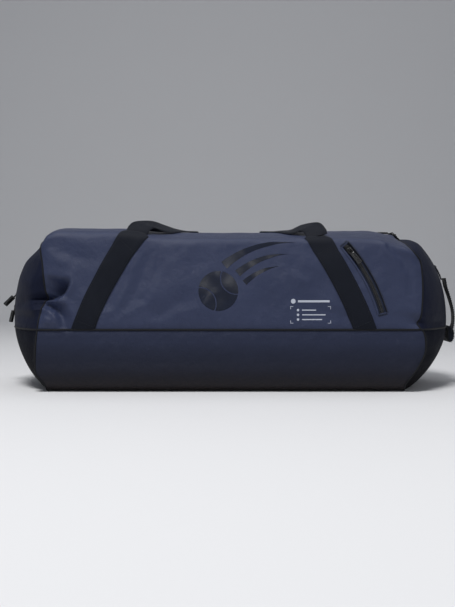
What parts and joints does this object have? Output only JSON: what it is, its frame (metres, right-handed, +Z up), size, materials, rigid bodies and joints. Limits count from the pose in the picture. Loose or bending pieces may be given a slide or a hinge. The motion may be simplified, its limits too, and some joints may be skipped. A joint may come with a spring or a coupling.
{
  "type": "racket tournament bag",
  "caption": "Long soft racket bag with a wide zipped top, a darker base, webbing carry handles, a curved front pocket zip and a grab handle on the end.",
  "frame": {"origin": "on the floor under the middle of the base", "axes": "+X along the bag to the grab-handle end, -Y to the front with the slanted pocket zip, +Z up"},
  "size_m": [0.8338, 0.336, 0.2906],
  "materials": {
    "upper_cloth": "coated weave",
    "base_cloth": "coated weave",
    "end_cloth": "coated weave",
    "webbing": "ribbed webbing",
    "piping": "bound edge",
    "zip_tape": "woven tape",
    "zip_teeth": "gloss",
    "zip_slider": "gloss black",
    "zip_pull": "gloss",
    "lining": "plain lining",
    "foam_divider": "padded lining",
    "board": "plain board",
    "grip": "padded wrap"
  },
  "bodies": {
    "bag": {"base_panel": "base_cloth", "base_board": "board", "base_piping": "piping", "front_panel": "upper_cloth", "rear_panel": "upper_cloth", "end_panel_left": "end_cloth", "end_panel_right": "end_cloth", "end_base_left": "base_cloth", "end_base_right": "base_cloth", "top_bridge_left": "upper_cloth", "top_bridge_right": "upper_cloth", "front_strap_left": "webbing", "front_strap_right": "webbing", "rear_strap_left": "webbing", "rear_strap_right": "webbing", "divider": "foam_divider", "pocket_bag": "lining", "pocket_zip_tape": "zip_tape", "pocket_zip_teeth": "zip_teeth", "end_zip_tape": "zip_tape", "end_zip_teeth": "zip_teeth", "end_pocket_liner": "lining", "end_handle_tabs": "webbing", "main_zip_ends": "zip_tape", "main_zip_stops": "zip_teeth"},
    "front_flap": {"top_flap_front": "upper_cloth", "main_zip_tape_front": "zip_tape", "main_zip_teeth_front": "zip_teeth", "front_handle_tabs": "webbing"},
    "rear_flap": {"top_flap_rear": "upper_cloth", "main_zip_tape_rear": "zip_tape", "main_zip_teeth_rear": "zip_teeth", "rear_handle_tabs": "webbing"},
    "front_handle": {"front_handle": "webbing"},
    "rear_handle": {"rear_handle": "webbing"},
    "end_handle": {"end_handle_loop": "webbing", "end_handle_grip": "grip"},
    "main_slider": {"main_slider": "zip_slider"},
    "main_pull": {"main_pull": "zip_pull"},
    "pocket_slider": {"pocket_slider": "zip_slider"},
    "pocket_pull": {"pocket_pull": "zip_pull"},
    "end_slider_upper": {"end_slider_upper": "zip_slider"},
    "end_pull_upper": {"end_pull_upper": "zip_pull"},
    "end_slider_lower": {"end_slider_lower": "zip_slider"},
    "end_pull_lower": {"end_pull_lower": "zip_pull"}
  },
  "joints": [
    {"name": "front_flap_fold", "type": "hinge", "parent": "bag", "child": "front_flap", "pos_m": [0, -0.136, 0.26595], "axis": [1, 0, 0], "range_deg": [0, 90]},
    {"name": "rear_flap_fold", "type": "hinge", "parent": "bag", "child": "rear_flap", "pos_m": [0, 0.136, 0.26595], "axis": [-1, 0, 0], "range_deg": [0, 90]},
    {"name": "front_handle_swing", "type": "hinge", "parent": "front_flap", "child": "front_handle", "pos_m": [0, -0.1287, 0.27043], "axis": [1, 0, 0], "range_deg": [0, 100]},
    {"name": "rear_handle_swing", "type": "hinge", "parent": "rear_flap", "child": "rear_handle", "pos_m": [0, 0.1287, 0.27043], "axis": [-1, 0, 0], "range_deg": [0, 100]},
    {"name": "end_handle_swing", "type": "hinge", "parent": "bag", "child": "end_handle", "pos_m": [0.39159, 0, 0.194], "axis": [0, -1, 0], "range_deg": [0, 150]},
    {"name": "main_slider_travel", "type": "slide", "parent": "bag", "child": "main_slider", "axis": [-1, 0, 0], "range_m": [0, 0.608]},
    {"name": "main_pull_flip", "type": "hinge", "parent": "main_slider", "child": "main_pull", "pos_m": [0.304, 0, 0.2853], "axis": [0, 1, 0], "range_deg": [0, 140]},
    {"name": "pocket_slider_travel", "type": "hinge", "parent": "bag", "child": "pocket_slider", "pos_m": [-0.03681, -0.17086, 0.05361], "axis": [0, 0.994, -0.109], "range_deg": [0, 21.52]},
    {"name": "pocket_pull_flip", "type": "hinge", "parent": "pocket_slider", "child": "pocket_pull", "pos_m": [0.20435, -0.15092, 0.24456], "axis": [-0.7824, -0.0679, -0.6191], "range_deg": [0, 140]},
    {"name": "end_upper_slider_travel", "type": "hinge", "parent": "bag", "child": "end_slider_upper", "pos_m": [-0.19993, 0, 0.12796], "axis": [0, 1, 0], "range_deg": [0, 20.15]},
    {"name": "end_lower_slider_travel", "type": "hinge", "parent": "bag", "child": "end_slider_lower", "pos_m": [-0.19993, 0, 0.12796], "axis": [0, -1, 0], "range_deg": [0, 2.6]},
    {"name": "end_upper_pull_flip", "type": "hinge", "parent": "end_slider_upper", "child": "end_pull_upper", "pos_m": [-0.39694, 0, 0.16448], "axis": [0, 1, 0], "range_deg": [0, 100]},
    {"name": "end_lower_pull_flip", "type": "hinge", "parent": "end_slider_lower", "child": "end_pull_lower", "pos_m": [-0.39981, 0, 0.14194], "axis": [0, 1, 0], "range_deg": [0, 60]}
  ]
}
